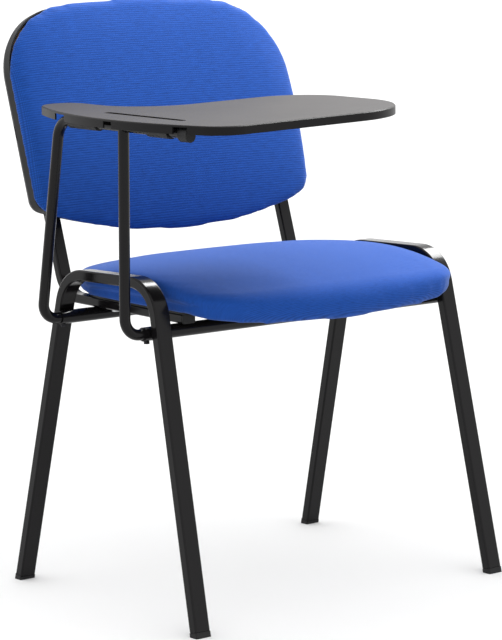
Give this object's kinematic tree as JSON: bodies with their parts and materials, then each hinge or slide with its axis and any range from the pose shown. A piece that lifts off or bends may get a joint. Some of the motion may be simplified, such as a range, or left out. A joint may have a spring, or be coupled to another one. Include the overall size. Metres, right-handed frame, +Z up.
{
  "type": "tablet arm chair",
  "caption": "Stacking conference chair with padded seat and back on a black tube frame, and a writing tablet that folds up about a bar on the sitter's right arm.",
  "frame": {"origin": "on the floor under the middle of the chair's bounding box", "axes": "+Z up, -Y the way the sitter faces, -X the sitter's right hand and the tablet's side"},
  "size_m": [0.6219, 0.605, 0.8269],
  "materials": {
    "frame_paint": "black powder coat, satin",
    "plastic": "black moulded plastic, fine grain",
    "cloth": "royal blue woven upholstery cloth",
    "plywood": "raw plywood",
    "rubber": "black rubber",
    "zinc": "zinc plated"
  },
  "bodies": {
    "chair": {"arm_front_post": "frame_paint", "arm_rear_tube": "frame_paint", "back_board": "plywood", "back_cushion": "cloth", "back_screws": "zinc", "back_shell": "plastic", "back_support_left": "frame_paint", "back_support_right": "frame_paint", "bar_end_cap": "plastic", "cross_tube_plugs": "plastic", "foot_glide_front_left": "plastic", "foot_glide_front_right": "plastic", "foot_glide_rear_left": "plastic", "foot_glide_rear_right": "plastic", "front_cross_tube": "frame_paint", "leg_loop_left": "frame_paint", "leg_loop_right": "frame_paint", "rear_cross_tube": "frame_paint", "seat_board": "plywood", "seat_cushion": "cloth", "seat_pan": "plastic", "seat_screws": "zinc", "socket_bolts": "zinc", "stop_pad": "rubber", "support_plugs": "plastic", "tablet_stop": "frame_paint"},
    "tablet": {"tablet_top": "plastic", "hinge_block_rear": "plastic", "hinge_block_front": "plastic", "hinge_screws": "zinc"}
  },
  "joints": [
    {"name": "tablet_flip", "type": "hinge", "parent": "chair", "child": "tablet", "pos_m": [-0.2838, -0.0124, 0.674], "axis": [0, -1, 0], "range_deg": [0, 90]}
  ]
}
